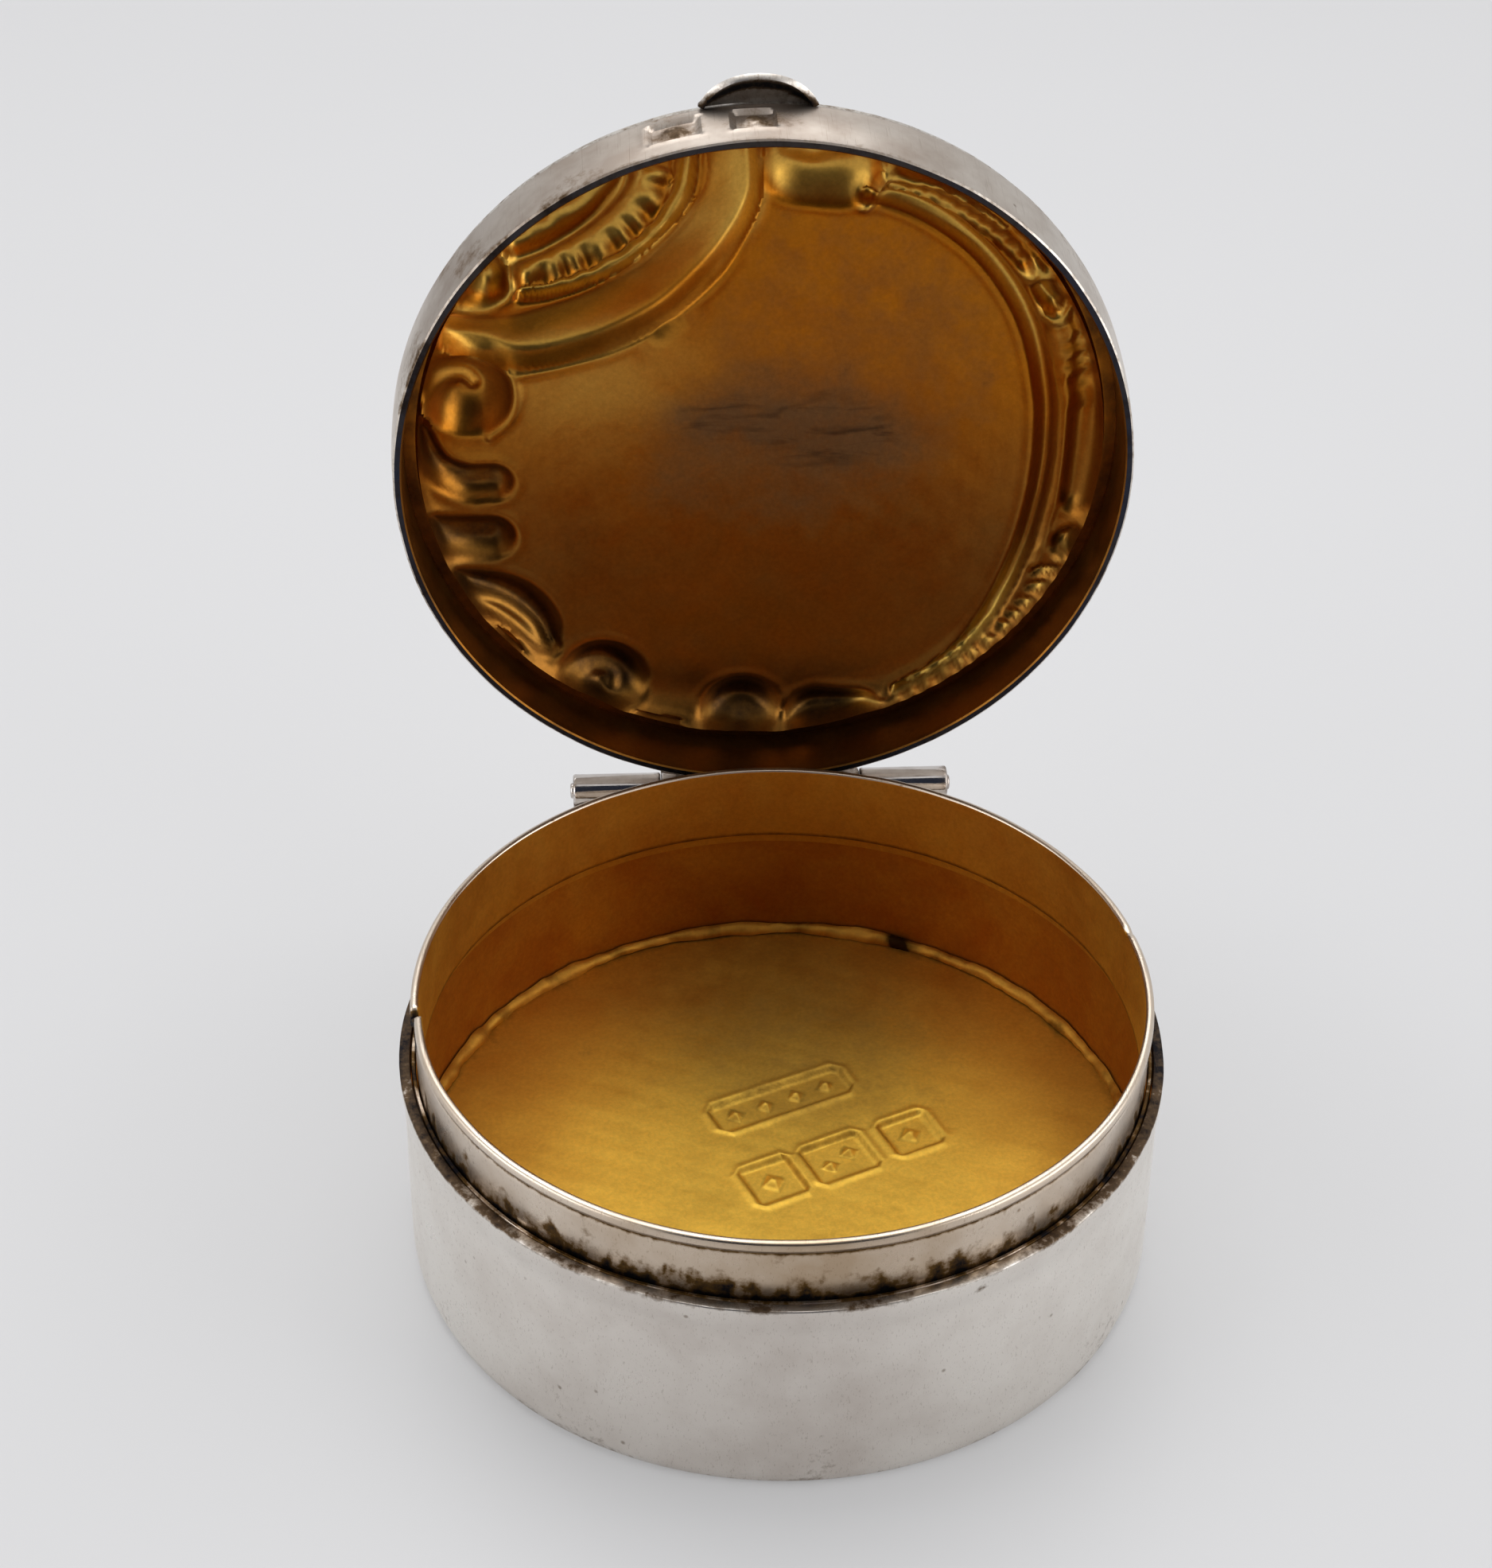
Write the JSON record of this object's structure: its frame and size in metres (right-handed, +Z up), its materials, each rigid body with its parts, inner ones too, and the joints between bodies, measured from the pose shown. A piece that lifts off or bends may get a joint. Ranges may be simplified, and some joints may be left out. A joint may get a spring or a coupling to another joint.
{
  "type": "hinged round pill box",
  "caption": "Small round silver pill box with a gilt inside, a standing liner and a chased lid that turns back on a pinned hinge.",
  "frame": {"origin": "centre of the underside of the base", "axes": "+Z up, +Y towards the hinge at the back, +X to the right when seen from the front"},
  "size_m": [0.036, 0.0413, 0.0505],
  "materials": {
    "satin_silver": "worn satin silver",
    "tarnished_silver": "dark tarnished silver",
    "gilt": "worn satin gilding"
  },
  "bodies": {
    "body": {"body_wall": "satin_silver", "base_plate": "satin_silver", "floor_plate": "gilt", "floor_fillet": "gilt", "seat_ring": "tarnished_silver", "liner_ring": "gilt", "body_bearer": "satin_silver", "knuckle_left": "satin_silver", "knuckle_right": "satin_silver", "hinge_pin": "satin_silver"},
    "lid": {"lid_band": "satin_silver", "lid_plate": "satin_silver", "thumbpiece": "satin_silver", "lid_bearer": "satin_silver", "knuckle_lid": "satin_silver"}
  },
  "joints": [
    {"name": "lid_hinge", "type": "hinge", "parent": "body", "child": "lid", "pos_m": [0, 0.0188, 0.01205], "axis": [1, 0, 0], "range_deg": [0, 90]}
  ]
}
